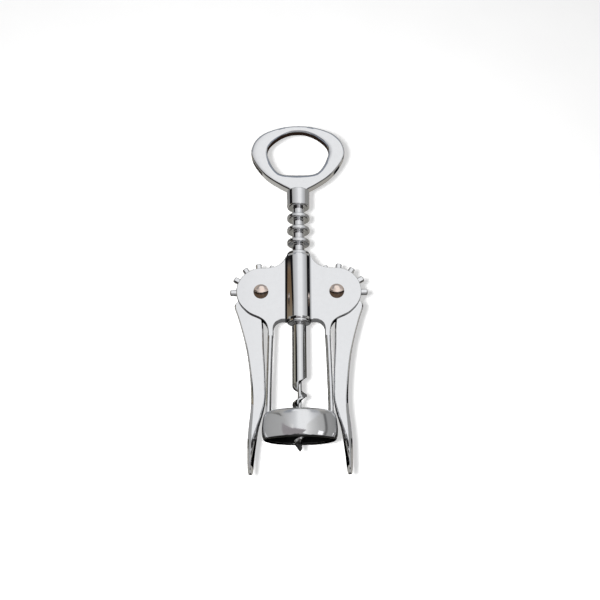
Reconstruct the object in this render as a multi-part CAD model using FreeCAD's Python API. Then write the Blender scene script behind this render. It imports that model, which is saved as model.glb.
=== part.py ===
import FreeCAD, Part
import math
import os
from FreeCAD import Vector as V

# Wing corkscrew lying flat.  X to the right, Y along the spindle toward the
# handle, Z up.  The shapes are drawn about the spindle axis and moved at the
# end, so that the origin is the middle of the bottom of the whole object.

# overall placement
SHIFT = V(0, 0.6, 19.0)

# lever pivots
PIVOT_X = 20.0
PIVOT_Y = -4.1

# rack and gear
PITCH = 7.34                      # spacing of the rings
GEAR_TEETH = 13                   # teeth a full gear would have
GEAR_R = PITCH * GEAR_TEETH / (2 * math.pi)
GEAR_TIP_R = 16.5
GEAR_ROOT_R = 12.6
TOOTH_W = 3.25
TOOTH_PHASE = 12.5                # angle of the first tooth above the rack line
NECK_R = 3.3
RING_R = 6.2
RING_HALF_T = 1.35                # half the thickness
RIM_ROUND = 0.8                   # rounding of the rim's two edges
RING_FIRST = 39.4                 # top ring
RING_COUNT = 8
FOOT_Y = -19.9                    # the foot flange that fills the barrel's mouth

# barrel
BARREL_R = 6.85
BORE_R = 6.45
BARREL_TOP = 17.8
BARREL_BOTTOM = -19.65

# cheek plates
PLATE_Z = 3.2
SLOT_Z = 1.75
SLOT_R = 17.0
LOBE_R = 13.05
LOBE_Y = -3.85
ARCH_Y = -19.5
ARCH_CORNER = 5.0

# levers
HUB_Z = 1.4
LEVER_BORE_R = 2.65
RIVET_R = 2.6
HEAD_R = 3.95
HEAD_H = 1.75
WASHER_R = 5.2

# bell
BELL_TOP = -67.9
BELL_BOTTOM = -81.8
BELL_BORE = 15.7
LINER_BORE = 15.0
SEAT_Y = -73.0
SEAT_BORE = 8.0
BELL_HOLE = 5.6

# spindle
SHAFT_R = 2.25
SLEEVE_BORE_R = 2.3
SHANK_R = 3.7
SHANK_TOP = -22.2
SHANK_END = -52.0
WORM_R = 3.6
WORM_CORE = 1.05
WORM_PITCH = 9.7
WORM_TIP = -87.1
COLLAR_LOW_R = 6.15
COLLAR_TOP_R = 6.35
COLLAR_BOTTOM = 45.45
COLLAR_TOP = 55.75
SLEEVE_TOP = 47.0
SLEEVE_BOTTOM = -21.65

# handle ring
RING_WALL_LOW = 2.4                # half thickness at the rims, by the collar
RING_WALL_TOP = 1.7                # and at the far end
RING_CROWN = 0.85                  # how much the middle of the band stands above its rims

os.makedirs("parts", exist_ok=True)
YDIR = V(0, 1, 0)


def put(shape, node):
    s = shape.copy()
    s.translate(SHIFT)
    solids = s.Solids
    print(node, "solids", len(solids), "valid", s.isValid(), "volume", round(s.Volume, 2))
    if len(solids) == 1:
        s = solids[0]
    s.exportStep("parts/" + node + ".step")


def turned(profile):
    """Solid of revolution about the spindle axis from (radius, y) points."""
    pts = [V(r, y, 0) for r, y in profile]
    wire = Part.makePolygon(pts + [pts[0]])
    return Part.Face(wire).revolve(V(0, 0, 0), YDIR, 360)


def turned_edges(edges):
    return Part.Face(Part.Wire(edges)).revolve(V(0, 0, 0), YDIR, 360)


def line(a, b):
    return Part.makeLine(V(a[0], a[1], 0), V(b[0], b[1], 0))


def arc(a, m, b):
    return Part.Arc(V(a[0], a[1], 0), V(m[0], m[1], 0), V(b[0], b[1], 0)).toShape()


def curve(points):
    c = Part.BSplineCurve()
    c.interpolate([V(x, y, 0) for x, y in points])
    return c.toShape()


def plate(edges, z0, z1):
    face = Part.Face(Part.Wire(Part.__sortEdges__(edges)))
    face.translate(V(0, 0, z0))
    return face.extrude(V(0, 0, z1 - z0))


def mirror_x(shape):
    return shape.mirror(V(0, 0, 0), V(1, 0, 0))


def outline_edges(solid, z, skip=None):
    out = []
    for e in solid.Edges:
        b = e.BoundBox
        if abs(b.ZMin - z) < 1e-4 and abs(b.ZMax - z) < 1e-4:
            if skip is None or not skip(e):
                out.append(e)
    return out


def table(rows, y):
    """Straight line interpolation in rows of (y, value), y falling."""
    if y >= rows[0][0]:
        return rows[0][1]
    for (y0, v0), (y1, v1) in zip(rows, rows[1:]):
        if y0 >= y >= y1:
            return v0 + (v1 - v0) * (y0 - y) / (y0 - y1)
    return rows[-1][1]


# ---------------------------------------------------------------- frame casting
barrel = turned_edges([
    line((0, BARREL_BOTTOM), (BORE_R + 0.12, BARREL_BOTTOM)),
    arc((BORE_R + 0.12, BARREL_BOTTOM), (6.74, BARREL_BOTTOM + 0.5), (BARREL_R, BARREL_BOTTOM + 1.2)),
    line((BARREL_R, BARREL_BOTTOM + 1.2), (BARREL_R, BARREL_TOP - 2.2)),
    arc((BARREL_R, BARREL_TOP - 2.2), (BARREL_R - 2.2 * (1 - math.sqrt(0.5)), BARREL_TOP - 2.2 * (1 - math.sqrt(0.5))),
        (BARREL_R - 2.2, BARREL_TOP)),
    line((BARREL_R - 2.2, BARREL_TOP), (0, BARREL_TOP)),
    line((0, BARREL_TOP), (0, BARREL_BOTTOM)),
])

# half outline of the cheek plate, from the barrel to the top of the leg
a_in = math.radians(88)
a_out = math.radians(-46)
lobe_in = (PIVOT_X + LOBE_R * math.cos(a_in), LOBE_Y + LOBE_R * math.sin(a_in))
lobe_mid = (PIVOT_X + LOBE_R * math.cos(math.radians(20)), LOBE_Y + LOBE_R * math.sin(math.radians(20)))
lobe_out = (PIVOT_X + LOBE_R * math.cos(a_out), LOBE_Y + LOBE_R * math.sin(a_out))
fillet_top = [(5.35, 17.2), (6.4, 16.3), (7.1, 15.25), (7.85, 14.0), (8.95, 12.55), (10.35, 11.3), (12.25, 10.3), (14.9, 9.55), (17.6, 9.24), lobe_in]
run_in = [lobe_out, (27.4, -14.85), (25.2, -16.35), (22.7, -17.5), (20.3, -18.68), (18.35, -20.2), (16.95, -22.3), (16.25, -24.9), (16.1, -28.2)]
plate_edges = [
    line((0, 17.2), fillet_top[0]),
    curve(fillet_top),
    arc(lobe_in, lobe_mid, lobe_out),
    curve(run_in),
    line(run_in[-1], (13.5, -28.2)),
    line((13.5, -28.2), (13.5, ARCH_Y - ARCH_CORNER)),
    arc((13.5, ARCH_Y - ARCH_CORNER),
        (13.5 - ARCH_CORNER * (1 - math.sqrt(0.5)), ARCH_Y - ARCH_CORNER * (1 - math.sqrt(0.5))),
        (13.5 - ARCH_CORNER, ARCH_Y)),
    line((13.5 - ARCH_CORNER, ARCH_Y), (0, ARCH_Y)),
    line((0, ARCH_Y), (0, 17.2)),
]
cheek = plate(plate_edges, -PLATE_Z, PLATE_Z)
soft = []
for z in (PLATE_Z, -PLATE_Z):
    soft += outline_edges(cheek, z, lambda e: e.BoundBox.XMax < 1e-3 or e.BoundBox.YMax < -28.1 or e.BoundBox.YMin > 17.1)
rounded = cheek.makeFillet(0.45, soft)
print("cheek rounding", rounded.isValid(), round(rounded.Volume, 1))
if rounded.isValid():
    cheek = rounded

# leg: a bar with rounded long edges that runs from the cheek into the bell
leg_sections = []
for y, xi, xo in ((-25.0, 13.4, 16.3), (-38.0, 13.88, 16.6), (-52.0, 14.25, 16.9), (-69.0, 14.55, 17.2)):
    r = 1.25
    xm0, xm1, zf = xi + r, xo - r, PLATE_Z - r
    k = r * math.sqrt(0.5)
    pts = []
    e = []

    def p(x, z):
        return V(x, y, z)

    e.append(Part.makeLine(p(xm0, PLATE_Z), p(xm1, PLATE_Z)))
    e.append(Part.Arc(p(xm1, PLATE_Z), p(xm1 + k, zf + k), p(xo, zf)).toShape())
    e.append(Part.makeLine(p(xo, zf), p(xo, -zf)))
    e.append(Part.Arc(p(xo, -zf), p(xm1 + k, -zf - k), p(xm1, -PLATE_Z)).toShape())
    e.append(Part.makeLine(p(xm1, -PLATE_Z), p(xm0, -PLATE_Z)))
    e.append(Part.Arc(p(xm0, -PLATE_Z), p(xm0 - k, -zf - k), p(xi, -zf)).toShape())
    e.append(Part.makeLine(p(xi, -zf), p(xi, zf)))
    e.append(Part.Arc(p(xi, zf), p(xm0 - k, zf + k), p(xm0, PLATE_Z)).toShape())
    leg_sections.append(Part.Wire(e))
leg = Part.makeLoft(leg_sections, True, False)

# bell: shoulder, soft belly, bottom rim
bell_edges = [
    line((0, BELL_TOP), (15.3, BELL_TOP)),
    curve([(15.3, BELL_TOP), (16.7, -68.1), (17.6, -68.7), (18.12, -69.7), (18.45, -71.1), (18.78, -73.4),
           (18.95, -75.4), (18.99, -77.2), (18.85, -79.0), (18.45, -80.5)]),
    arc((18.45, -80.5), (17.98, -81.42), (17.1, BELL_BOTTOM)),
    line((17.1, BELL_BOTTOM), (16.2, BELL_BOTTOM)),
    line((16.2, BELL_BOTTOM), (BELL_BORE, BELL_BOTTOM + 0.4)),
    line((BELL_BORE, BELL_BOTTOM + 0.4), (BELL_BORE, -70.2)),
    line((BELL_BORE, -70.2), (0, -70.2)),
    line((0, -70.2), (0, BELL_TOP)),
]
bell = turned_edges(bell_edges)
bell = bell.cut(Part.makeCylinder(BELL_HOLE, 10, V(0, -74, 0), YDIR))

half = cheek.fuse(leg)
body = half.fuse(mirror_x(half)).fuse(barrel)
body = body.removeSplitter()
# soft corner where the barrel rises out of the cheek plates
SEAM_R = 2.3
cz = PLATE_Z + SEAM_R
cx = math.sqrt((BARREL_R + SEAM_R) ** 2 - cz ** 2)
tx, tz = cx * BARREL_R / (BARREL_R + SEAM_R), cz * BARREL_R / (BARREL_R + SEAM_R)
ma = (math.atan2(tz - cz, tx - cx) + 2 * math.pi + math.radians(270)) / 2
corner = Part.Face(Part.Wire([
    Part.makeLine(V(4.9, 0, 2.8), V(cx, 0, 2.8)),
    Part.makeLine(V(cx, 0, 2.8), V(cx, 0, PLATE_Z)),
    Part.Arc(V(cx, 0, PLATE_Z), V(cx + SEAM_R * math.cos(ma), 0, cz + SEAM_R * math.sin(ma)), V(tx, 0, tz)).toShape(),
    Part.makeLine(V(tx, 0, tz), V(4.9, 0, 2.8)),
]))
corner.translate(V(0, -30, 0))
# it ends a little inside the cheek's outline at the top
bead_area = plate(plate_edges, 0, 9)
bead_inset = bead_area.copy()
bead_inset.translate(V(0, -0.35, 0))
bead = corner.extrude(V(0, 60, 0)).common(bead_area).common(bead_inset)
bead = bead.fuse(mirror_x(bead))
bead = bead.fuse(bead.mirror(V(0, 0, 0), V(0, 0, 1)))
body = body.fuse(bead)
body = body.fuse(bell)
body = body.cut(Part.makeCylinder(BORE_R, 60, V(0, -30, 0), YDIR))
for s in (1, -1):
    body = body.cut(Part.makeCylinder(SLOT_R, 2 * SLOT_Z, V(s * PIVOT_X, PIVOT_Y, -SLOT_Z), V(0, 0, 1)))
    body = body.cut(Part.makeCylinder(RIVET_R, 20, V(s * PIVOT_X, PIVOT_Y, -10), V(0, 0, 1)))
put(body, "frame_casting")

# ---------------------------------------------------------------- bell liner
liner = turned([
    (BELL_BORE, -70.2), (SEAT_BORE, -70.2), (SEAT_BORE, SEAT_Y), (LINER_BORE, SEAT_Y),
    (LINER_BORE, -80.6), (LINER_BORE + 0.35, -81.0), (BELL_BORE, -81.0),
])
put(liner, "bell_liner")

# ---------------------------------------------------------------- rivets, washers
def rivet(s):
    z1 = PLATE_Z
    rim = 0.25
    sag = HEAD_H - rim
    big = (HEAD_R ** 2 + sag ** 2) / (2 * sag)
    half_a = math.asin(HEAD_R / big) / 2
    mid = (big * math.sin(half_a), z1 + rim + sag - big * (1 - math.cos(half_a)))
    up = [V(0, 0, z1 + HEAD_H), V(mid[0], 0, mid[1]), V(HEAD_R, 0, z1 + rim)]
    dn = [V(0, 0, -z1 - HEAD_H), V(mid[0], 0, -mid[1]), V(HEAD_R, 0, -z1 - rim)]
    e = [
        Part.Arc(*up).toShape(),
        Part.makeLine(up[2], V(HEAD_R, 0, z1)),
        Part.makeLine(V(HEAD_R, 0, z1), V(RIVET_R, 0, z1)),
        Part.makeLine(V(RIVET_R, 0, z1), V(RIVET_R, 0, -z1)),
        Part.makeLine(V(RIVET_R, 0, -z1), V(HEAD_R, 0, -z1)),
        Part.makeLine(V(HEAD_R, 0, -z1), dn[2]),
        Part.Arc(dn[2], dn[1], dn[0]).toShape(),
        Part.makeLine(dn[0], up[0]),
    ]
    solid = Part.Face(Part.Wire(e)).revolve(V(0, 0, 0), V(0, 0, 1), 360)
    solid.translate(V(s * PIVOT_X, PIVOT_Y, 0))
    return solid


def washer(s, z0, z1):
    c = V(s * PIVOT_X, PIVOT_Y, z0)
    return Part.makeCylinder(WASHER_R, z1 - z0, c, V(0, 0, 1)).cut(
        Part.makeCylinder(RIVET_R, z1 - z0, c, V(0, 0, 1)))


for s, side in ((-1, "left"), (1, "right")):
    put(rivet(s), side + "_pivot_rivet")
    put(washer(s, HUB_Z + 0.05, SLOT_Z), side + "_front_washer")
    put(washer(s, -SLOT_Z, -HUB_Z - 0.05), side + "_back_washer")

# ---------------------------------------------------------------- levers
outer_x = [(-9.1, 32.7), (-9.9, 33.5), (-11.0, 33.95), (-12.8, 33.75), (-15.4, 32.85), (-19.5, 31.5), (-29, 28.77),
           (-38.6, 26.72), (-47, 25.52), (-55.3, 24.8), (-61.4, 24.55), (-67.5, 24.85), (-72.4, 25.42), (-76.8, 25.8),
           (-81.0, 26.06), (-88.5, 26.04), (-94.8, 25.8), (-97.2, 25.5), (-98, 25.25)]
inner_x = [(-9.1, 22.2), (-15, 20.1), (-20, 19.05), (-30, 18.5), (-40, 17.97), (-50, 17.47), (-54.8, 17.3), (-60.4, 17.27),
           (-63.2, 17.45), (-67.5, 18.25), (-72.4, 19.65), (-76.8, 20.75), (-81.3, 21.4), (-88.6, 22.3),
           (-94.8, 22.85), (-97.2, 23.2), (-98, 23.45)]
# the flat front face: where its outer and inner edges run, and its height
flat_out = [(-9.1, 32.0), (-11.0, 33.2), (-12.8, 33.0), (-15.4, 32.1), (-19.5, 30.75), (-29, 28.0), (-38.6, 25.8),
            (-47, 24.5), (-55.3, 23.55), (-61.6, 23.2), (-67.6, 23.25), (-73.6, 23.6), (-81.6, 24.0), (-90, 24.3), (-98, 24.45)]
flat_in = [(-9.1, 22.9), (-15, 20.8), (-20, 19.75), (-30, 19.25), (-40, 18.7), (-50, 18.15), (-57, 18.0), (-61.5, 18.1),
           (-65, 18.75), (-70.7, 20.35), (-76.7, 22.2), (-81.6, 23.65), (-90, 24.05), (-98, 24.2)]
flat_z = [(-9.1, HUB_Z), (-52, HUB_Z), (-56, 1.5), (-61, 1.85), (-65, 2.3), (-69, 2.85), (-73, 3.4), (-77, 3.9), (-81.6, 4.35), (-86, 4.6),
          (-90, 4.65), (-93.5, 4.4), (-96, 3.6), (-97.3, 2.6), (-98, 1.6)]


def smooth(rows):
    c = Part.BSplineCurve()
    c.interpolate([V(-y, v, 0) for y, v in rows])

    def at(y):
        lo, hi = c.FirstParameter, c.LastParameter
        for _ in range(50):
            mid = (lo + hi) / 2
            if c.value(mid).x < -y:
                lo = mid
            else:
                hi = mid
        return c.value((lo + hi) / 2).y

    return at


sm_out, sm_in, sm_fo, sm_fi = smooth(outer_x), smooth(inner_x), smooth(flat_out), smooth(flat_in)
sections = []
for y in (-9.1, -9.9, -11.0, -13.0, -16.5, -21, -27, -34, -42, -50, -56, -61, -65, -69, -73, -77, -81.6, -86, -90, -93.5, -96, -97.3, -98):
    xo, xi, fo, fi, z = sm_out(y), sm_in(y), sm_fo(y), sm_fi(y), table(flat_z, y)
    if fo - fi < 0.2:
        m = (fo + fi) / 2
        fo, fi = m + 0.1, m - 0.1

    def q(x, zz):
        return V(x, y, zz)

    sections.append(Part.Wire([
        Part.makeLine(q(fi, z), q(fo, z)),
        Part.Arc(q(fo, z), q(xo, 0), q(fo, -z)).toShape(),
        Part.makeLine(q(fo, -z), q(fi, -z)),
        Part.Arc(q(fi, -z), q(xi, 0), q(fi, z)).toShape(),
    ]))
arm = Part.makeLoft(sections, True, False)
print("arm", arm.isValid(), round(arm.Volume, 1))

hub = Part.makeCylinder(GEAR_ROOT_R, 2 * HUB_Z, V(PIVOT_X, PIVOT_Y, -HUB_Z), V(0, 0, 1))
base = 11.0
tooth = Part.makeBox(GEAR_TIP_R - base, TOOTH_W, 2 * HUB_Z, V(base, -TOOTH_W / 2, -HUB_Z))
long_edges = [e for e in tooth.Edges if e.BoundBox.XLength > 1]
tooth = tooth.makeFillet(1.15, long_edges)
tip_edges = [e for e in tooth.Edges if e.BoundBox.XMin > GEAR_TIP_R - 1e-3]
tooth = tooth.makeFillet(0.7, tip_edges)
gear = hub
step = 360.0 / GEAR_TEETH
for k in range(-1, 7):
    ang = 180.0 - (TOOTH_PHASE + k * step)
    t = tooth.copy()
    t.rotate(V(0, 0, 0), V(0, 0, 1), ang)
    t.translate(V(PIVOT_X, PIVOT_Y, 0))
    gear = gear.fuse(t)
# the arm is as thick as the hub where it lies between the cheek plates
trim = Part.makeCylinder(WASHER_R + 0.4, 8, V(PIVOT_X, PIVOT_Y, -4), V(0, 0, 1)).cut(
    Part.makeCylinder(WASHER_R + 0.4, 2 * HUB_Z, V(PIVOT_X, PIVOT_Y, -HUB_Z), V(0, 0, 1)))
lever = gear.fuse(arm.cut(trim))
lever = lever.cut(Part.makeCylinder(LEVER_BORE_R, 20, V(PIVOT_X, PIVOT_Y, -10), V(0, 0, 1)))
lever = lever.removeSplitter()
put(lever, "right_lever")
put(mirror_x(lever), "left_lever")

# ---------------------------------------------------------------- rack sleeve
rings = []
y = RING_FIRST
ring_rows = []
for n in range(RING_COUNT):
    ring_rows.append(RING_FIRST - n * PITCH)
ring_rows.append(FOOT_Y)
prof = [line((SLEEVE_BORE_R, SLEEVE_BOTTOM), (SLEEVE_BORE_R, SLEEVE_TOP)),
        line((SLEEVE_BORE_R, SLEEVE_TOP), (NECK_R, SLEEVE_TOP))]
at = (NECK_R, SLEEVE_TOP)
ROOT_FILLET = 0.35
h = math.sqrt(0.5)
for c in ring_rows:
    up, dn = c + RING_HALF_T, c - RING_HALF_T
    rim = RING_R - RIM_ROUND
    k = RIM_ROUND * (1 - h)
    f = ROOT_FILLET
    prof.append(line(at, (NECK_R, up + f)))
    prof.append(arc((NECK_R, up + f), (NECK_R + f * (1 - h), up + f * (1 - h)), (NECK_R + f, up)))
    prof.append(line((NECK_R + f, up), (rim, up)))
    prof.append(arc((rim, up), (RING_R - k, up - k), (RING_R, up - RIM_ROUND)))
    prof.append(line((RING_R, up - RIM_ROUND), (RING_R, dn + RIM_ROUND)))
    prof.append(arc((RING_R, dn + RIM_ROUND), (RING_R - k, dn + k), (rim, dn)))
    prof.append(line((rim, dn), (NECK_R + f, dn)))
    prof.append(arc((NECK_R + f, dn), (NECK_R + f * (1 - h), dn - f * (1 - h)), (NECK_R, dn - f)))
    at = (NECK_R, dn - f)
if at[1] > SLEEVE_BOTTOM + 1e-6:
    prof.append(line(at, (NECK_R, SLEEVE_BOTTOM)))
    at = (NECK_R, SLEEVE_BOTTOM)
prof.append(line(at, (SLEEVE_BORE_R, SLEEVE_BOTTOM)))
sleeve = turned_edges(prof)
put(sleeve, "rack_sleeve")

# thrust washers above and below the sleeve
def collar_ring(r0, r1, y0, y1):
    return Part.makeCylinder(r1, y1 - y0, V(0, y0, 0), YDIR).cut(
        Part.makeCylinder(r0, y1 - y0, V(0, y0, 0), YDIR))


put(collar_ring(SHAFT_R, 3.3, SLEEVE_TOP + 0.05, 47.6), "upper_thrust_washer")
put(collar_ring(SHAFT_R, 3.3, SHANK_TOP, SLEEVE_BOTTOM - 0.05), "lower_thrust_washer")

# ---------------------------------------------------------------- handle
outer_loop = [(0, 53.2), (3.4, 54.6), (6.3, 56.8), (8.2, 57.85), (10.3, 59.1), (13.0, 60.85), (15.75, 62.8), (18.75, 65.5), (21.65, 68.95),
              (24.25, 72.95), (25.8, 76.25), (26.45, 79.6), (25.9, 83.6), (24.5, 87.0), (21.75, 90.4), (18.8, 92.55),
              (15.7, 94.0), (11.0, 95.6), (5.5, 96.65), (0, 96.98)]
hole_loop = [(0, 65.0), (4.4, 65.05), (8.1, 65.45), (10.5, 66.3), (12.2, 67.75), (13.85, 70.0), (15.2, 72.5), (16.3, 75.15),
             (17.1, 77.7), (17.4, 80.1), (17.15, 82.4), (16.45, 84.15), (15.15, 86.0), (12.6, 88.45), (9.75, 90.5), (6.9, 91.95),
             (3.8, 92.95), (0, 93.25)]


def closed_curve(pts):
    full = pts + [(-x, y) for x, y in reversed(pts[1:-1])]
    c = Part.BSplineCurve()
    c.interpolate([V(x, y, 0) for x, y in full], PeriodicFlag=True)
    return c


CEN = V(0, 79.5, 0)


def by_angle(c, n):
    """Points of a closed curve at n even angles about the ring's middle."""
    dense = [c.value(c.FirstParameter + (c.LastParameter - c.FirstParameter) * i / 4000.0) for i in range(4000)]
    ang = [(math.atan2(v.y - CEN.y, v.x - CEN.x), v) for v in dense]
    ang.sort(key=lambda t: t[0])
    out = []
    for i in range(n):
        a = -math.pi / 2 + 2 * math.pi * i / n
        a = math.atan2(math.sin(a), math.cos(a))
        best = None
        lo, hi = 0, len(ang)
        while lo < hi:
            m = (lo + hi) // 2
            if ang[m][0] < a:
                lo = m + 1
            else:
                hi = m
        p1 = ang[lo % len(ang)]
        p0 = ang[lo - 1]
        d = (p1[0] - p0[0]) % (2 * math.pi)
        f = ((a - p0[0]) % (2 * math.pi)) / d if d > 1e-12 else 0
        out.append(p0[1] + (p1[1] - p0[1]) * f)
    return out


N = 72
outer_pts = by_angle(closed_curve(outer_loop), N)
hole_pts = by_angle(closed_curve(hole_loop), N)
crown = [(0.0, 0.0), (0.035, 0.34), (0.1, 0.66), (0.2, 0.86), (0.36, 0.97), (0.55, 1.0), (0.76, 0.97), (0.9, 0.84), (0.97, 0.5), (1.0, 0.0)]


def crown_face(sign):
    grid = []
    for i in range(N + 1):
        h, o = hole_pts[i % N], outer_pts[i % N]
        row = []
        for s, f in crown:
            p = h + (o - h) * s
            w = RING_WALL_LOW + (RING_WALL_TOP - RING_WALL_LOW) * min(1.0, max(0.0, (p.y - 60.0) / 30.0))
            row.append(V(p.x, p.y, sign * (w + RING_CROWN * f)))
        grid.append(row)
    surf = Part.BSplineSurface()
    surf.interpolate(grid)
    return surf.toShape()


front, back = crown_face(1), crown_face(-1)


def rim_edge(face, at_outer):
    """The crown face's edge along the outer outline or along the hole."""
    best = None
    for e in face.Edges:
        if e.Length < 30:
            continue
        top = e.BoundBox.YMax
        if best is None or (top > best[0]) == at_outer:
            best = (top, e)
    return best[1]


faces = [front, back]
for at_outer in (True, False):
    faces.append(Part.makeRuledSurface(rim_edge(front, at_outer), rim_edge(back, at_outer)))
shell = Part.makeShell(faces)
shell.sewShape(0.01)
ring = Part.Solid(shell if shell.ShapeType == "Shell" else shell.Shells[0])
if ring.Volume < 0:
    ring.reverse()
print("ring", ring.isValid(), round(ring.Volume, 1), shell.ShapeType)

collar = Part.makeCone(COLLAR_LOW_R, COLLAR_TOP_R, COLLAR_TOP - COLLAR_BOTTOM, V(0, COLLAR_BOTTOM, 0), YDIR)
highs = [e for e in collar.Edges if e.BoundBox.YLength < 1e-4 and abs(e.BoundBox.YMin - COLLAR_TOP) < 1e-3]
collar = collar.makeFillet(0.55, highs)
lows = [e for e in collar.Edges if e.BoundBox.YLength < 1e-4 and abs(e.BoundBox.YMin - COLLAR_BOTTOM) < 1e-3]
collar = collar.makeFillet(0.9, lows)
handle = collar.fuse(ring)
handle = handle.cut(Part.makeCylinder(NECK_R + 0.1, 47.6 - 40, V(0, 40, 0), YDIR))
handle = handle.cut(Part.makeCylinder(SHAFT_R, 57.0 - 40, V(0, 40, 0), YDIR))
PIN_R = 0.9
PIN_Y = 52.5
handle = handle.cut(Part.makeCylinder(PIN_R, 20, V(-10, PIN_Y, 0), V(1, 0, 0)))
put(handle, "handle")

pin = Part.makeCylinder(PIN_R, 11.6, V(-5.8, PIN_Y, 0), V(1, 0, 0))
put(pin, "handle_cross_pin")

# ---------------------------------------------------------------- worm
shaft = Part.makeCylinder(SHAFT_R, 57.0 - SHANK_TOP, V(0, SHANK_TOP, 0), YDIR)
rod = turned([(0, SHANK_TOP), (SHANK_R - 0.3, SHANK_TOP), (SHANK_R, SHANK_TOP - 0.3), (SHANK_R, WORM_TIP + 8.0),
              (SHANK_R - 0.25, WORM_TIP + 6.0), (2.3, WORM_TIP + 3.0), (0.12, WORM_TIP), (0, WORM_TIP)])
# right-handed groove cut into the rod: what it leaves is the core and the thin-edged flight.
# Its upper end runs out in the shank behind the right side.
VALLEY = -54.15
turns_below = 4
rise = WORM_PITCH * turns_below + WORM_PITCH * 0.31
helix = Part.makeHelix(WORM_PITCH, rise, WORM_CORE)
half_core, half_rim = WORM_PITCH / 2 - 1.75, WORM_PITCH / 2 - 0.22
r0, r1 = WORM_CORE, SHANK_R + 0.3
prof_f = Part.makePolygon([V(r0, 0, -half_core), V(r1, 0, -half_rim), V(r1, 0, half_rim), V(r0, 0, half_core), V(r0, 0, -half_core)])
groove = Part.Wire(helix).makePipeShell([prof_f], True, True)
# the helix climbs +Z; lay it along the spindle so that it climbs to the right at the front
groove.rotate(V(0, 0, 0), V(1, 0, 0), -90)
groove.translate(V(0, VALLEY - WORM_PITCH * turns_below, 0))
print("groove", groove.isValid(), round(groove.Volume, 2))
rod = rod.cut(groove)
worm = shaft.fuse(rod)
pin_hole = Part.makeCylinder(PIN_R, 20, V(-10, PIN_Y, 0), V(1, 0, 0))
worm = worm.cut(pin_hole)
put(worm, "worm")
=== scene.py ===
import math

import bpy
from mathutils import Matrix, Vector

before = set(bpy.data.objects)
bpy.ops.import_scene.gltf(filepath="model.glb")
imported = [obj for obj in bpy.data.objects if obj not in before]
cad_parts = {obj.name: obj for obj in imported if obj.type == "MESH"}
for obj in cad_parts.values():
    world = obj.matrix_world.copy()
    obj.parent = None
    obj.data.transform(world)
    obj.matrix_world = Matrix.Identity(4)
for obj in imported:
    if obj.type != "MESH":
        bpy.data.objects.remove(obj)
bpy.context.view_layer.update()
MM = 0.001
KEY_WATTS = 5.15


# ------------------------------------------------------------------ node helpers
def new_material(name):
    m = bpy.data.materials.new(name)
    m.use_nodes = True
    nt = m.node_tree
    nt.nodes.clear()
    out = nt.nodes.new("ShaderNodeOutputMaterial")
    bsdf = nt.nodes.new("ShaderNodeBsdfPrincipled")
    nt.links.new(bsdf.outputs["BSDF"], out.inputs["Surface"])
    return m, nt, bsdf


def node(nt, kind, **values):
    n = nt.nodes.new(kind)
    for k, v in values.items():
        if hasattr(n, k):
            setattr(n, k, v)
        else:
            n.inputs[k].default_value = v
    return n


def link(nt, a, b):
    nt.links.new(a, b)


def ramp(nt, stops, interpolation="LINEAR"):
    r = nt.nodes.new("ShaderNodeValToRGB")
    r.color_ramp.interpolation = interpolation
    els = r.color_ramp.elements
    while len(els) < len(stops):
        els.new(0.5)
    for el, (p, c) in zip(els, stops):
        el.position = p
        el.color = (c, c, c, 1) if isinstance(c, (int, float)) else (*c, 1)
    return r


# ------------------------------------------------------------------ materials
def plated(name, colour, rough=0.05, smudge=0.05, wave=0.03, wave_scale=90.0, grain=0.0):
    """Bright plating over a casting: a faint large wave, fine smudges in the gloss."""
    m, nt, b = new_material(name)
    b.inputs["Metallic"].default_value = 1.0
    tc = node(nt, "ShaderNodeTexCoord")
    n1 = node(nt, "ShaderNodeTexNoise", Scale=wave_scale, Detail=2.0)
    n2 = node(nt, "ShaderNodeTexNoise", Scale=420.0, Detail=5.0, Roughness=0.6)
    n3 = node(nt, "ShaderNodeTexNoise", Scale=2600.0, Detail=3.0)
    for n in (n1, n2, n3):
        link(nt, tc.outputs["Object"], n.inputs["Vector"])
    mr = node(nt, "ShaderNodeMapRange")
    mr.inputs["From Min"].default_value = 0.35
    mr.inputs["From Max"].default_value = 0.75
    mr.inputs["To Min"].default_value = rough
    mr.inputs["To Max"].default_value = rough + smudge
    link(nt, n2.outputs["Fac"], mr.inputs["Value"])
    link(nt, mr.outputs["Result"], b.inputs["Roughness"])
    cr = ramp(nt, [(0.3, tuple(c * 0.97 for c in colour)), (0.7, colour)])
    link(nt, n2.outputs["Fac"], cr.inputs["Fac"])
    link(nt, cr.outputs["Color"], b.inputs["Base Color"])
    bump1 = node(nt, "ShaderNodeBump", Strength=wave, Distance=0.0006)
    link(nt, n1.outputs["Fac"], bump1.inputs["Height"])
    bump2 = node(nt, "ShaderNodeBump", Strength=0.02 + grain, Distance=0.00004)
    link(nt, n3.outputs["Fac"], bump2.inputs["Height"])
    link(nt, bump1.outputs["Normal"], bump2.inputs["Normal"])
    link(nt, bump2.outputs["Normal"], b.inputs["Normal"])
    return m


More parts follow.
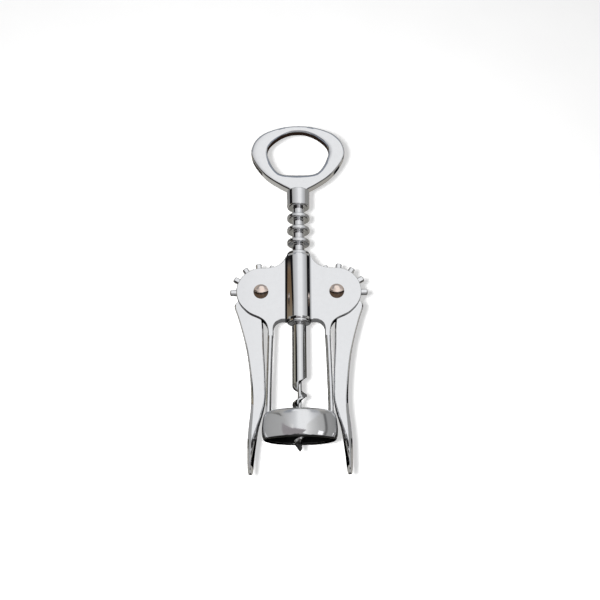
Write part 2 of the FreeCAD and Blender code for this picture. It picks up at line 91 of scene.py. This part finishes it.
def casting_painted_shade_and_gloss(m):
    """Paints shade as near black into the casting's colour on the lower outer walls of the cheek plates, at the foot
    of the barrel on the left and on the bell's rim, and gives the bell a softer gloss.
    """
    nt = m.node_tree
    b = next(n for n in nt.nodes if n.type == "BSDF_PRINCIPLED")
    base = b.inputs["Base Color"].links[0].from_socket
    rough = b.inputs["Roughness"].links[0].from_socket
    tc = node(nt, "ShaderNodeTexCoord")
    at = node(nt, "ShaderNodeSeparateXYZ")
    link(nt, tc.outputs["Object"], at.inputs[0])
    nm = node(nt, "ShaderNodeSeparateXYZ")
    link(nt, tc.outputs["Normal"], nm.inputs[0])

    def math2(op, a, c, clamp=False):
        n = nt.nodes.new("ShaderNodeMath")
        n.operation = op
        n.use_clamp = clamp
        for i, v in enumerate((a, c)):
            if isinstance(v, (int, float)):
                n.inputs[i].default_value = v
            else:
                link(nt, v, n.inputs[i])
        return n.outputs[0]

    def step(v, lo, hi):
        n = node(nt, "ShaderNodeMapRange")
        n.interpolation_type = "SMOOTHSTEP"
        link(nt, v, n.inputs["Value"])
        n.inputs["From Min"].default_value = lo
        n.inputs["From Max"].default_value = hi
        return n.outputs["Result"]

    ax = math2("ABSOLUTE", at.outputs[0], 0.0)
    anz = math2("ABSOLUTE", nm.outputs[2], 0.0)
    # painted shade: the lower outer walls of the cheek plates are darkened
    wall = math2("MULTIPLY", step(math2("MULTIPLY", nm.outputs[1], -1.0), 0.22, 0.4), math2("SUBTRACT", 1.0, step(anz, 0.5, 0.85)))
    wall = math2("MULTIPLY", wall, step(ax, 0.0150, 0.0165))
    wall = math2("MULTIPLY", wall, step(at.outputs[1], -0.032, -0.028))
    # painted shade at the foot of the barrel on the left, in the corner
    az = math2("ABSOLUTE", math2("SUBTRACT", at.outputs[2], 0.019), 0.0)
    seam = math2("MULTIPLY", step(at.outputs[0], -0.0074, -0.0071), math2("SUBTRACT", 1.0, step(at.outputs[0], -0.0063, -0.0061)))
    seam = math2("MULTIPLY", seam, step(at.outputs[1], -0.0205, -0.0195))
    seam = math2("MULTIPLY", seam, math2("SUBTRACT", 1.0, step(az, 0.0050, 0.0056)))
    seam = math2("MULTIPLY", seam, math2("SUBTRACT", 1.0, step(at.outputs[1], 0.0150, 0.0170)))
    # painted shade on the rim of the bell, where it faces the bottle end
    rim = math2("MULTIPLY", step(math2("MULTIPLY", nm.outputs[1], -1.0), 0.44, 0.58), math2("SUBTRACT", 1.0, step(at.outputs[1], -0.0785, -0.0775)))
    dark = math2("MAXIMUM", math2("MULTIPLY", wall, 0.95), math2("MULTIPLY", seam, 0.985))
    dark = math2("MAXIMUM", dark, math2("MULTIPLY", rim, 0.88))
    # the painted shade goes into the base colour as near black
    mx = node(nt, "ShaderNodeMix", data_type="RGBA")
    link(nt, dark, mx.inputs["Factor"])
    link(nt, base, mx.inputs[6])
    mx.inputs[7].default_value = (0.006, 0.0055, 0.005, 1)
    link(nt, mx.outputs[2], b.inputs["Base Color"])
    bell = math2("MULTIPLY", math2("SUBTRACT", 1.0, step(at.outputs[1], -0.0665, -0.0655)), step(at.outputs[1], -0.0795, -0.0780))
    link(nt, math2("ADD", rough, math2("MULTIPLY", bell, 0.09)), b.inputs["Roughness"])


CHROME = (0.90, 0.905, 0.915)
m_frame = plated("frame_plating", CHROME, rough=0.035, smudge=0.03, wave=0.02, wave_scale=70.0)
casting_painted_shade_and_gloss(m_frame)
m_lever = plated("lever_plating", CHROME, rough=0.04, smudge=0.03, wave=0.02, wave_scale=60.0)
m_handle = plated("handle_plating", CHROME, rough=0.05, smudge=0.03, wave=0.03, wave_scale=60.0)
m_rack = plated("rack_plating", (0.87, 0.875, 0.885), rough=0.06, smudge=0.04, wave=0.02, wave_scale=120.0)
m_worm = plated("worm_plating", (0.86, 0.865, 0.87), rough=0.05, smudge=0.04, wave=0.02, wave_scale=120.0)


def worm_tip(m):
    """The sharpened point of the worm is darker than its plated length."""
    nt = m.node_tree
    b = next(n for n in nt.nodes if n.type == "BSDF_PRINCIPLED")
    base = b.inputs["Base Color"].links[0].from_socket
    tc = node(nt, "ShaderNodeTexCoord")
    at = node(nt, "ShaderNodeSeparateXYZ")
    link(nt, tc.outputs["Object"], at.inputs[0])
    f = node(nt, "ShaderNodeMapRange")
    f.interpolation_type = "SMOOTHSTEP"
    link(nt, at.outputs[1], f.inputs["Value"])
    f.inputs["From Min"].default_value = -0.0835
    f.inputs["From Max"].default_value = -0.0800
    f.inputs["To Min"].default_value = 0.94
    f.inputs["To Max"].default_value = 0.0
    mx = node(nt, "ShaderNodeMix", data_type="RGBA")
    link(nt, f.outputs["Result"], mx.inputs["Factor"])
    link(nt, base, mx.inputs[6])
    mx.inputs[7].default_value = (0.02, 0.018, 0.016, 1)
    link(nt, mx.outputs[2], b.inputs["Base Color"])


worm_tip(m_worm)


def copper():
    m, nt, b = new_material("rivet_copper_plating")
    b.inputs["Metallic"].default_value = 1.0
    tc = node(nt, "ShaderNodeTexCoord")
    n1 = node(nt, "ShaderNodeTexNoise", Scale=700.0, Detail=4.0)
    n2 = node(nt, "ShaderNodeTexNoise", Scale=90.0, Detail=2.0)
    link(nt, tc.outputs["Object"], n1.inputs["Vector"])
    link(nt, tc.outputs["Object"], n2.inputs["Vector"])
    cr = ramp(nt, [(0.3, (0.99, 0.81, 0.71)), (0.7, (1.0, 0.86, 0.77))])
    link(nt, n1.outputs["Fac"], cr.inputs["Fac"])
    sx = node(nt, "ShaderNodeSeparateXYZ")
    link(nt, tc.outputs["Normal"], sx.inputs[0])

    def math4(op, a, c):
        n = nt.nodes.new("ShaderNodeMath")
        n.operation = op
        for i, v in enumerate((a, c)):
            if isinstance(v, (int, float)):
                n.inputs[i].default_value = v
            else:
                link(nt, v, n.inputs[i])
        return n.outputs[0]

    # painted reflection: the lower part of each dome is painted dark, as the shade it would reflect, with a
    # smile-shaped border, and so is the rim
    lower = math4("SUBTRACT", sx.outputs[1], math4("MULTIPLY", math4("MULTIPLY", sx.outputs[0], sx.outputs[0]), 0.62))
    rim = math4("MULTIPLY", math4("SUBTRACT", 0.66, math4("ABSOLUTE", sx.outputs[2], 0.0)), 2.2)
    place = node(nt, "ShaderNodeMapRange")
    link(nt, math4("SUBTRACT", lower, math4("MAXIMUM", rim, 0.0)), place.inputs["Value"])
    place.inputs["From Min"].default_value = -0.7
    place.inputs["From Max"].default_value = 0.1
    painted_dark_reflection = ramp(nt, [(0.0, (0.10, 0.066, 0.043)), (0.34, (0.085, 0.055, 0.036)), (0.50, (0.020, 0.013, 0.009)), (0.59, (0.010, 0.007, 0.005)), (0.66, (0.5, 0.38, 0.31))])
    link(nt, place.outputs["Result"], painted_dark_reflection.inputs["Fac"])
    bright_copper_part = node(nt, "ShaderNodeMapRange")
    bright_copper_part.interpolation_type = "SMOOTHSTEP"
    link(nt, place.outputs["Result"], bright_copper_part.inputs["Value"])
    bright_copper_part.inputs["From Min"].default_value = 0.60
    bright_copper_part.inputs["From Max"].default_value = 0.68
    # bright copper above, the painted dark reflection below
    mx = node(nt, "ShaderNodeMix", data_type="RGBA")
    link(nt, bright_copper_part.outputs["Result"], mx.inputs["Factor"])
    link(nt, painted_dark_reflection.outputs["Color"], mx.inputs[6])
    link(nt, cr.outputs["Color"], mx.inputs[7])
    link(nt, mx.outputs[2], b.inputs["Base Color"])
    link(nt, bright_copper_part.outputs["Result"], b.inputs["Metallic"])
    mr = node(nt, "ShaderNodeMapRange")
    mr.inputs["To Min"].default_value = 0.07
    mr.inputs["To Max"].default_value = 0.13
    link(nt, n1.outputs["Fac"], mr.inputs["Value"])
    link(nt, mr.outputs["Result"], b.inputs["Roughness"])
    bp = node(nt, "ShaderNodeBump", Strength=0.05, Distance=0.0003)
    link(nt, n2.outputs["Fac"], bp.inputs["Height"])
    link(nt, bp.outputs["Normal"], b.inputs["Normal"])
    return m


def plastic():
    m, nt, b = new_material("liner_moulded_plastic")
    tc = node(nt, "ShaderNodeTexCoord")
    n1 = node(nt, "ShaderNodeTexNoise", Scale=900.0, Detail=4.0)
    link(nt, tc.outputs["Object"], n1.inputs["Vector"])
    cr = ramp(nt, [(0.3, 0.0015), (0.8, 0.004)])
    b.inputs["Specular IOR Level"].default_value = 0.22
    link(nt, n1.outputs["Fac"], cr.inputs["Fac"])
    link(nt, cr.outputs["Color"], b.inputs["Base Color"])
    mr = node(nt, "ShaderNodeMapRange")
    mr.inputs["To Min"].default_value = 0.28
    mr.inputs["To Max"].default_value = 0.42
    link(nt, n1.outputs["Fac"], mr.inputs["Value"])
    link(nt, mr.outputs["Result"], b.inputs["Roughness"])
    bp = node(nt, "ShaderNodeBump", Strength=0.08, Distance=0.0001)
    link(nt, n1.outputs["Fac"], bp.inputs["Height"])
    link(nt, bp.outputs["Normal"], b.inputs["Normal"])
    return m


def steel():
    m, nt, b = new_material("washer_turned_steel")
    b.inputs["Metallic"].default_value = 1.0
    tc = node(nt, "ShaderNodeTexCoord")
    n1 = node(nt, "ShaderNodeTexNoise", Scale=1500.0, Detail=4.0)
    link(nt, tc.outputs["Object"], n1.inputs["Vector"])
    cr = ramp(nt, [(0.3, (0.50, 0.50, 0.51)), (0.7, (0.66, 0.66, 0.67))])
    link(nt, n1.outputs["Fac"], cr.inputs["Fac"])
    link(nt, cr.outputs["Color"], b.inputs["Base Color"])
    mr = node(nt, "ShaderNodeMapRange")
    mr.inputs["To Min"].default_value = 0.22
    mr.inputs["To Max"].default_value = 0.4
    link(nt, n1.outputs["Fac"], mr.inputs["Value"])
    link(nt, mr.outputs["Result"], b.inputs["Roughness"])
    return m


m_copper, m_plastic, m_steel = copper(), plastic(), steel()
FINISH = {
    "frame_casting": m_frame,
    "bell_liner": m_plastic,
    "left_pivot_rivet": m_copper,
    "right_pivot_rivet": m_copper,
    "left_front_washer": m_steel,
    "left_back_washer": m_steel,
    "right_front_washer": m_steel,
    "right_back_washer": m_steel,
    "left_lever": m_lever,
    "right_lever": m_lever,
    "rack_sleeve": m_rack,
    "upper_thrust_washer": m_steel,
    "lower_thrust_washer": m_steel,
    "handle": m_handle,
    "handle_cross_pin": m_steel,
    "worm": m_worm,
}
for name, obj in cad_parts.items():
    mat = FINISH[name]
    for s in obj.material_slots:
        s.material = mat

# ------------------------------------------------------------------ floor
floor_mesh = bpy.data.meshes.new("floor_sheet")
h = 1.5
floor_mesh.from_pydata([(-h, -h, 0), (h, -h, 0), (h, h, 0), (-h, h, 0)], [], [(0, 1, 2, 3)])
floor = bpy.data.objects.new("floor_sheet", floor_mesh)
bpy.context.scene.collection.objects.link(floor)
fm, nt, b = new_material("pale_paper")
tc = node(nt, "ShaderNodeTexCoord")
nz = node(nt, "ShaderNodeTexNoise", Scale=30.0, Detail=3.0)
link(nt, tc.outputs["Object"], nz.inputs["Vector"])
cr = ramp(nt, [(0.3, 0.905), (0.7, 0.92)])
link(nt, nz.outputs["Fac"], cr.inputs["Fac"])
link(nt, cr.outputs["Color"], b.inputs["Base Color"])
b.inputs["Roughness"].default_value = 0.9
b.inputs["Specular IOR Level"].default_value = 0.1
link(nt, cr.outputs["Color"], b.inputs["Emission Color"])
b.inputs["Emission Strength"].default_value = 0.55
floor_mesh.materials.append(fm)
floor.visible_glossy = False

# ------------------------------------------------------------------ studio surroundings
world = bpy.data.worlds.new("studio")
bpy.context.scene.world = world
world.use_nodes = True
wt = world.node_tree
wt.nodes.clear()
w_out = wt.nodes.new("ShaderNodeOutputWorld")


def wmath(op, a, b=None, c=None, clamp=False):
    n = wt.nodes.new("ShaderNodeMath")
    n.operation = op
    n.use_clamp = clamp
    for i, v in enumerate((a, b, c)):
        if v is None:
            continue
        if isinstance(v, (int, float)):
            n.inputs[i].default_value = v
        else:
            wt.links.new(v, n.inputs[i])
    return n.outputs[0]


def wstep(v, at, width):
    """0 below at, 1 above it, over the width given."""
    n = wt.nodes.new("ShaderNodeMapRange")
    n.interpolation_type = "SMOOTHSTEP"
    wt.links.new(v, n.inputs["Value"])
    n.inputs["From Min"].default_value = at - width / 2
    n.inputs["From Max"].default_value = at + width / 2
    return n.outputs["Result"]


def wband(v, lo, hi, soft):
    return wmath("MULTIPLY", wstep(v, lo, soft), wmath("SUBTRACT", 1.0, wstep(v, hi, soft)))


def wmix(fac, a, b):
    n = wt.nodes.new("ShaderNodeMix")
    n.data_type = "RGBA"
    wt.links.new(fac, n.inputs["Factor"])
    for sock, v in ((n.inputs[6], a), (n.inputs[7], b)):
        if isinstance(v, tuple):
            sock.default_value = (*v, 1)
        elif isinstance(v, (int, float)):
            sock.default_value = (v, v, v, 1)
        else:
            wt.links.new(v, sock)
    return n.outputs[2]


coord = wt.nodes.new("ShaderNodeTexCoord")
sep = wt.nodes.new("ShaderNodeSeparateXYZ")
wt.links.new(coord.outputs["Generated"], sep.inputs[0])
dx, dy, dz = sep.outputs[0], sep.outputs[1], sep.outputs[2]
# side angle in degrees, 0 overhead, negative to the left, +-180 straight down
side = wmath("MULTIPLY", wmath("ARCTAN2", dx, dz), 180 / math.pi)

def wclamp(v, lo, hi):
    return wmath("MINIMUM", wmath("MAXIMUM", v, lo), hi)


def wsum(*terms):
    out = terms[0]
    for t in terms[1:]:
        out = wmath("ADD", out, t)
    return out


def between(v, lo, hi, soft):
    """1 between two borders that may themselves be sockets."""
    up = wmath("DIVIDE", wmath("SUBTRACT", v, lo), soft, clamp=True)
    dn = wmath("DIVIDE", wmath("SUBTRACT", hi, v), soft, clamp=True)
    return wmath("MULTIPLY", up, dn)


# the room: mid grey
env = wmix(wstep(dz, -0.2, 1.6), (0.36, 0.345, 0.315), (0.40, 0.395, 0.385))
wall_tone = wmath("MULTIPLY", between(wmath("ABSOLUTE", side, 0.0), 70.0, 152.0, 8.0), wband(dy, 0.405, 0.64, 0.04))
env = wmix(wall_tone, env, (0.27, 0.268, 0.262))
low_left = wmath("MULTIPLY", between(side, -180.5, -138.0, 8.0), wband(dy, -0.24, 0.13, 0.05))
env = wmix(low_left, env, (0.44, 0.43, 0.405))
low_back = wmath("MULTIPLY", wstep(wmath("ABSOLUTE", side, 0.0), 157.0, 12.0), wband(dy, -0.56, -0.245, 0.05))
env = wmix(low_back, env, (0.235, 0.23, 0.21))
# left: a dark gap above a warm strip, both leaning away toward the handle
near = wclamp(wmath("MULTIPLY", wmath("SUBTRACT", 0.30, dy), 250.0), 0.0, 11.0)
s_hi = wclamp(wmath("SUBTRACT", wmath("ADD", near, -45.0), wmath("MULTIPLY", wmath("MAXIMUM", wmath("SUBTRACT", dy, 0.32), 0.0), 150.0)), -64.0, -34.0)
s_lo = wmath("SUBTRACT", wmath("SUBTRACT", -62.0, wmath("MULTIPLY", near, 0.75)), wclamp(wmath("MULTIPLY", wmath("SUBTRACT", dy, 0.31), 330.0), 0.0, 37.0))
warm = wmath("MULTIPLY", between(side, -124.0, -58.0, 6.0), wband(dy, 0.16, 0.372, 0.03))
warm_tone = wmix(wstep(dy, 0.28, 0.14), (0.37, 0.35, 0.28), (0.16, 0.105, 0.062))
env = wmix(warm, env, warm_tone)
dark_left = wmath("MULTIPLY", between(side, -181.0, -116.0, 8.0), wband(dy, 0.13, 0.4, 0.04))
env = wmix(dark_left, env, (0.05, 0.046, 0.038))
gap_left = wmath("MULTIPLY", between(side, s_lo, s_hi, 4.0), wband(dy, 0.14, 0.472, 0.03))
env = wmix(gap_left, env, (0.006, 0.006, 0.007))
upper_left = wmath("MULTIPLY", between(side, -128.0, -60.0, 6.0), wband(dy, 0.368, 0.402, 0.015))
env = wmix(upper_left, env, (0.006, 0.006, 0.007))
# right: a dark gap, wider where it is seen from the shank and the legs
r_lo = wmath("SUBTRACT", 76.0, wmath("MULTIPLY", near, 1.3))
gap_right = wmath("MULTIPLY", between(side, r_lo, wmath("ADD", wmath("MULTIPLY", near, 4.0), 124.0), 5.0), wband(dy, 0.13, 0.395, 0.03))
env = wmix(gap_right, env, (0.008, 0.008, 0.009))
# the overhead sheet: brightest in the middle, falling off to the right
tone = ramp(wt, [(0.0, (0.40, 0.40, 0.40)), (0.17, (0.50, 0.50, 0.505)), (0.34, (0.66, 0.665, 0.68)), (0.42, (0.87, 0.875, 0.885)),
                 (0.62, (0.88, 0.885, 0.895)), (0.76, (0.62, 0.625, 0.64)), (0.9, (0.46, 0.465, 0.475)), (1.0, (0.40, 0.40, 0.40))])
sheet_side = wt.nodes.new("ShaderNodeMapRange")
wt.links.new(side, sheet_side.inputs["Value"])
sheet_side.inputs["From Min"].default_value = -64.0
sheet_side.inputs["From Max"].default_value = 80.0
wt.links.new(sheet_side.outputs["Result"], tone.inputs["Fac"])
sheet_left = wmath("MAXIMUM", s_hi, -64.0)
sheet_right = wmath("MINIMUM", r_lo, 76.0)
sheet = wmath("MULTIPLY", between(side, sheet_left, sheet_right, 5.0), wband(dy, -0.58, 0.72, 0.03))
env = wmix(sheet, env, tone.outputs["Color"])
# its far end, seen over the tops of the domes and shoulders
far_sheet = wmath("MULTIPLY", between(side, -58.0, 58.0, 22.0), wband(dy, 0.70, 0.955, 0.04))
env = wmix(far_sheet, env, (0.84, 0.845, 0.855))
far_l = wmath("MULTIPLY", between(side, -62.0, -24.0, 10.0), wband(dy, 0.54, 0.99, 0.06))
env = wmix(far_l, env, (0.29, 0.305, 0.33))
far_r = wmath("MULTIPLY", between(side, 34.0, 78.0, 12.0), wband(dy, 0.54, 0.99, 0.06))
env = wmix(far_r, env, (0.40, 0.41, 0.43))
# toward the bottle end: grey near overhead, then dark down to the floor
patch_top = wmath("SUBTRACT", -0.055, wmath("MULTIPLY", side, 0.0052))
patch_in = wmath("MULTIPLY", wmath("SUBTRACT", patch_top, dy), 40.0, clamp=True)
patch_end = wstep(dy, -0.56, 0.04)
patch = wmath("MULTIPLY", wmath("MULTIPLY", between(side, -24.0, wmath("ADD", wmath("MULTIPLY", dy, 26.0), 25.0), 4.0), patch_in), patch_end)
env = wmix(patch, env, (0.29, 0.272, 0.282))
low_right = wmath("MULTIPLY", between(side, 27.0, 62.0, 6.0), wband(dy, -0.56, 0.08, 0.05))
env = wmix(low_right, env, (0.17, 0.17, 0.175))
side_dark = wmath("MULTIPLY", wmath("SUBTRACT", 1.0, wstep(dy, -0.3, 0.1)), wmath("MAXIMUM", between(side, -112.0, -48.0, 5.0), between(side, 56.0, 112.0, 5.0)))
env = wmix(side_dark, env, (0.014, 0.013, 0.012))
low_dark = wmath("MULTIPLY", wmath("SUBTRACT", 1.0, wstep(dy, 0.08, 0.06)), wmath("MAXIMUM", between(side, -84.0, -21.0, 5.0), wmath("MULTIPLY", between(side, 58.0, 76.0, 5.0), wstep(dy, -0.12, 0.06))))
env = wmix(low_dark, env, (0.014, 0.013, 0.012))
# down at the bottle end: black in the middle, dark grey at the sides
end_tone = wmix(wstep(wmath("ABSOLUTE", side, 0.0), 52.0, 20.0), (0.010, 0.009, 0.008), (0.05, 0.047, 0.045))
dark_end = wmath("SUBTRACT", 1.0, wstep(dy, -0.545, 0.07))
env = wmix(dark_end, env, end_tone)
# a grey wall low down beyond the bottle end
low_wall = wmath("MULTIPLY", wmath("SUBTRACT", 1.0, wstep(dy, -0.79, 0.10)), wmath("SUBTRACT", 1.0, wstep(wmath("ABSOLUTE", side, 0.0), 80.0, 30.0)))
env = wmix(low_wall, env, (0.43, 0.432, 0.44))

bg_gloss = wt.nodes.new("ShaderNodeBackground")
wt.links.new(env, bg_gloss.inputs["Color"])
bg_fill = wt.nodes.new("ShaderNodeBackground")
bg_fill.inputs["Color"].default_value = (1, 1, 1, 1)
bg_fill.inputs["Strength"].default_value = 0.13
bg_seen = wt.nodes.new("ShaderNodeBackground")
bg_seen.inputs["Color"].default_value = (1, 1, 1, 1)
path = wt.nodes.new("ShaderNodeLightPath")
mix1 = wt.nodes.new("ShaderNodeMixShader")
wt.links.new(path.outputs["Is Glossy Ray"], mix1.inputs["Fac"])
wt.links.new(bg_fill.outputs[0], mix1.inputs[1])
wt.links.new(bg_gloss.outputs[0], mix1.inputs[2])
mix2 = wt.nodes.new("ShaderNodeMixShader")
wt.links.new(path.outputs["Is Camera Ray"], mix2.inputs["Fac"])
wt.links.new(mix1.outputs[0], mix2.inputs[1])
wt.links.new(bg_seen.outputs[0], mix2.inputs[2])
wt.links.new(mix2.outputs[0], w_out.inputs["Surface"])

# the shade under the object, which only the polished metal sees
shade_mesh = bpy.data.meshes.new("contact_shade")
x0, y0, y1 = 0.030, -0.094, 0.016
x1, ym, zs = 0.0245, -0.062, 0.00003
shade_mesh.from_pydata([(-x1, y0, zs), (x1, y0, zs), (x1, ym, zs), (-x1, ym, zs), (-x0, ym, zs), (x0, ym, zs), (x0, y1, zs), (-x0, y1, zs)], [], [(0, 1, 2, 3), (4, 5, 6, 7)])
shade_obj = bpy.data.objects.new("contact_shade", shade_mesh)
bpy.context.scene.collection.objects.link(shade_obj)
sm = bpy.data.materials.new("contact_shade")
sm.use_nodes = True
nt = sm.node_tree
nt.nodes.clear()
so = nt.nodes.new("ShaderNodeOutputMaterial")
em = nt.nodes.new("ShaderNodeEmission")
tc = nt.nodes.new("ShaderNodeTexCoord")
sx = nt.nodes.new("ShaderNodeSeparateXYZ")
nt.links.new(tc.outputs["Object"], sx.inputs[0])
ab = nt.nodes.new("ShaderNodeMath")
ab.operation = "ABSOLUTE"
nt.links.new(sx.outputs[0], ab.inputs[0])
mr = nt.nodes.new("ShaderNodeMapRange")
mr.interpolation_type = "SMOOTHSTEP"
nt.links.new(ab.outputs[0], mr.inputs["Value"])
mr.inputs["From Min"].default_value = 0.010
mr.inputs["From Max"].default_value = 0.015
mr.inputs["To Min"].default_value = 0.14
mr.inputs["To Max"].default_value = 0.012
my = nt.nodes.new("ShaderNodeMapRange")
my.interpolation_type = "SMOOTHSTEP"
nt.links.new(sx.outputs[1], my.inputs["Value"])
my.inputs["From Min"].default_value = -0.062
my.inputs["From Max"].default_value = -0.052
mm = nt.nodes.new("ShaderNodeMath")
mm.operation = "MULTIPLY"
nt.links.new(mr.outputs["Result"], mm.inputs[0])
nt.links.new(my.outputs["Result"], mm.inputs[1])
nt.links.new(mm.outputs[0], em.inputs["Color"])
nt.links.new(em.outputs[0], so.inputs["Surface"])
shade_mesh.materials.append(sm)
shade_obj.visible_camera = False
shade_obj.visible_diffuse = False
shade_obj.visible_shadow = False
shade_obj.visible_transmission = False



def plain_card(name, quads, rgb):
    """Flat glowing quads that only the polished metal sees."""
    mesh = bpy.data.meshes.new(name)
    mesh.from_pydata([v for q in quads for v in q], [], [tuple(range(4 * k, 4 * k + 4)) for k in range(len(quads))])
    obj = bpy.data.objects.new(name, mesh)
    bpy.context.scene.collection.objects.link(obj)
    mat = bpy.data.materials.new(name)
    mat.use_nodes = True
    nt = mat.node_tree
    nt.nodes.clear()
    out = nt.nodes.new("ShaderNodeOutputMaterial")
    em = nt.nodes.new("ShaderNodeEmission")
    em.inputs["Color"].default_value = (*rgb, 1)
    nt.links.new(em.outputs[0], out.inputs["Surface"])
    mesh.materials.append(mat)
    obj.visible_camera = False
    obj.visible_diffuse = False
    obj.visible_shadow = False
    obj.visible_transmission = False


plain_card("paddle_shade", [[(sx * 0.0247, -0.104, 0.00003), (sx * 0.036, -0.104, 0.00003), (sx * 0.036, -0.062, 0.00003), (sx * 0.0247, -0.062, 0.00003)] for sx in (-1, 1)], (0.085, 0.08, 0.08))
plain_card("hole_shade", [[(-0.016, 0.074, 0.0003), (0.016, 0.074, 0.0003), (0.016, 0.0945, 0.0003), (-0.016, 0.0945, 0.0003)]], (0.022, 0.013, 0.009))
plain_card("far_card", [[(-0.09, 0.129, 0.060), (0.09, 0.129, 0.060), (0.09, 0.300, 0.060), (-0.09, 0.300, 0.060)]], (0.25, 0.275, 0.315))
plain_card("hole_card_low", [[(-0.0105, 0.0725, 0.030), (0.0105, 0.0725, 0.030), (0.0145, 0.080, 0.030), (-0.0145, 0.080, 0.030)],
                             [(-0.0145, 0.080, 0.030), (0.0145, 0.080, 0.030), (0.0130, 0.0870, 0.030), (-0.0130, 0.0870, 0.030)]], (0.23, 0.255, 0.30))
plain_card("bell_sparks", [[(0.0235, -0.0885, 0.037), (0.0235, -0.0808, 0.037), (0.0235, -0.0808, 0.0445), (0.0235, -0.0885, 0.0445)],
                           [(0.0235, -0.0812, 0.0207), (0.0235, -0.0791, 0.0207), (0.0235, -0.0791, 0.0243), (0.0235, -0.0812, 0.0243)]], (1.1, 1.1, 1.12))


# two tall grey cards beside the bell, which only the polished metal sees
def bell_card(sx, name):
    mesh = bpy.data.meshes.new(name)
    x, ya, yb, za, zb = sx * 0.0285, -0.104, -0.0615, 0.0004, 0.112
    ym, zm = -0.0797, 0.0205
    zu, yu = 0.060, -0.128
    mesh.from_pydata([(x, ya, zm), (x, ym, zm), (x, yb, zm), (x, yb, zu), (x, ya, zu), (x, ym, za), (x, yb, za), (x, yu, zu), (x, yu, zb), (x, yb, zb)],
                     [], [(0, 1, 2, 3, 4), (5, 6, 2, 1), (7, 4, 3, 9, 8)])
    obj = bpy.data.objects.new(name, mesh)
    bpy.context.scene.collection.objects.link(obj)
    mat = bpy.data.materials.new(name)
    mat.use_nodes = True
    nt = mat.node_tree
    nt.nodes.clear()
    out = nt.nodes.new("ShaderNodeOutputMaterial")
    em = nt.nodes.new("ShaderNodeEmission")
    tc = nt.nodes.new("ShaderNodeTexCoord")
    at = nt.nodes.new("ShaderNodeSeparateXYZ")
    nt.links.new(tc.outputs["Object"], at.inputs[0])
    up = nt.nodes.new("ShaderNodeMapRange")
    nt.links.new(at.outputs[2], up.inputs["Value"])
    up.inputs["From Min"].default_value = 0.0
    up.inputs["From Max"].default_value = 0.112
    if sx < 0:
        tone = ramp(nt, [(0.0, 0.02), (0.07, 0.12), (0.14, 0.33), (0.25, 0.365), (0.40, 0.395), (0.51, 0.43), (0.70, 0.56), (0.97, 0.80)])
    else:
        tone = ramp(nt, [(0.0, 0.02), (0.07, 0.1), (0.14, 0.27), (0.275, 0.31), (0.298, 0.13), (0.312, 0.13), (0.335, 0.41), (0.42, 0.46), (0.51, 0.55), (0.72, 0.68), (0.97, 0.82)])
    nt.links.new(up.outputs["Result"], tone.inputs["Fac"])
    colour = tone.outputs["Color"]

    def math3(op, a, c):
        n = nt.nodes.new("ShaderNodeMath")
        n.operation = op
        for i, v in enumerate((a, c)):
            if isinstance(v, (int, float)):
                n.inputs[i].default_value = v
            else:
                nt.links.new(v, n.inputs[i])
        return n.outputs[0]

    def band(v, lo, hi, soft):
        outs = []
        for edge in (lo, hi):
            n = nt.nodes.new("ShaderNodeMapRange")
            n.interpolation_type = "SMOOTHSTEP"
            nt.links.new(v, n.inputs["Value"])
            n.inputs["From Min"].default_value = edge - soft
            n.inputs["From Max"].default_value = edge + soft
            outs.append(n.outputs["Result"])
        return math3("SUBTRACT", outs[0], outs[1])

    def over(fac, colour, rgb):
        n = nt.nodes.new("ShaderNodeMix")
        n.data_type = "RGBA"
        nt.links.new(fac, n.inputs["Factor"])
        nt.links.new(colour, n.inputs[6])
        n.inputs[7].default_value = (*rgb, 1)
        return n.outputs[2]

    z = at.outputs[2]
    y = math3("ADD", at.outputs[1], math3("MULTIPLY", math3("SUBTRACT", z, 0.100), 0.20))
    if sx < 0:
        colour = over(math3("MULTIPLY", band(y, -0.150, -0.0782, 0.0006), band(z, 0.050, 0.2, 0.003)), colour, (0.29, 0.272, 0.282))
    nt.links.new(colour, em.inputs["Color"])
    nt.links.new(em.outputs[0], out.inputs["Surface"])
    mesh.materials.append(mat)
    obj.visible_camera = False
    obj.visible_diffuse = False
    obj.visible_shadow = False
    obj.visible_transmission = False


bell_card(-1, "bell_card_left")
bell_card(1, "bell_card_right")

# ------------------------------------------------------------------ key light and camera
LENS_PX = 700.0
DIST = 371.0 * MM
TILT = math.radians(18.7)
ROLL = 0.008
look = Vector((0.572 * MM, -7.35 * MM, 19.0 * MM))
back = Vector((0, -math.sin(TILT), math.cos(TILT)))
right0 = Vector((1, 0, 0))
up0 = back.cross(right0)
right = right0 * math.cos(ROLL) - up0 * math.sin(ROLL)
up = up0 * math.cos(ROLL) + right0 * math.sin(ROLL)
cam = bpy.data.cameras.new("camera")
cam.sensor_width = 36.0
cam.lens = 36.0 * LENS_PX / 600.0
cam.clip_start = 0.01
cam.clip_end = 20.0
cam_obj = bpy.data.objects.new("camera", cam)
bpy.context.scene.collection.objects.link(cam_obj)
pos = look + back * DIST
cam_obj.matrix_world = Matrix((
    (right.x, up.x, back.x, pos.x),
    (right.y, up.y, back.y, pos.y),
    (right.z, up.z, back.z, pos.z),
    (0, 0, 0, 1),
))
bpy.context.scene.camera = cam_obj

# soft key beside the camera, a little to the left of it and above
bulb = bpy.data.lights.new("key", "POINT")
bulb.energy = KEY_WATTS
bulb.shadow_soft_size = 0.029
key = bpy.data.objects.new("key", bulb)
bpy.context.scene.collection.objects.link(key)
key.location = pos - right * 0.060 + up * 0.012
key.visible_glossy = False
bpy.context.scene.view_settings.view_transform = "Standard"
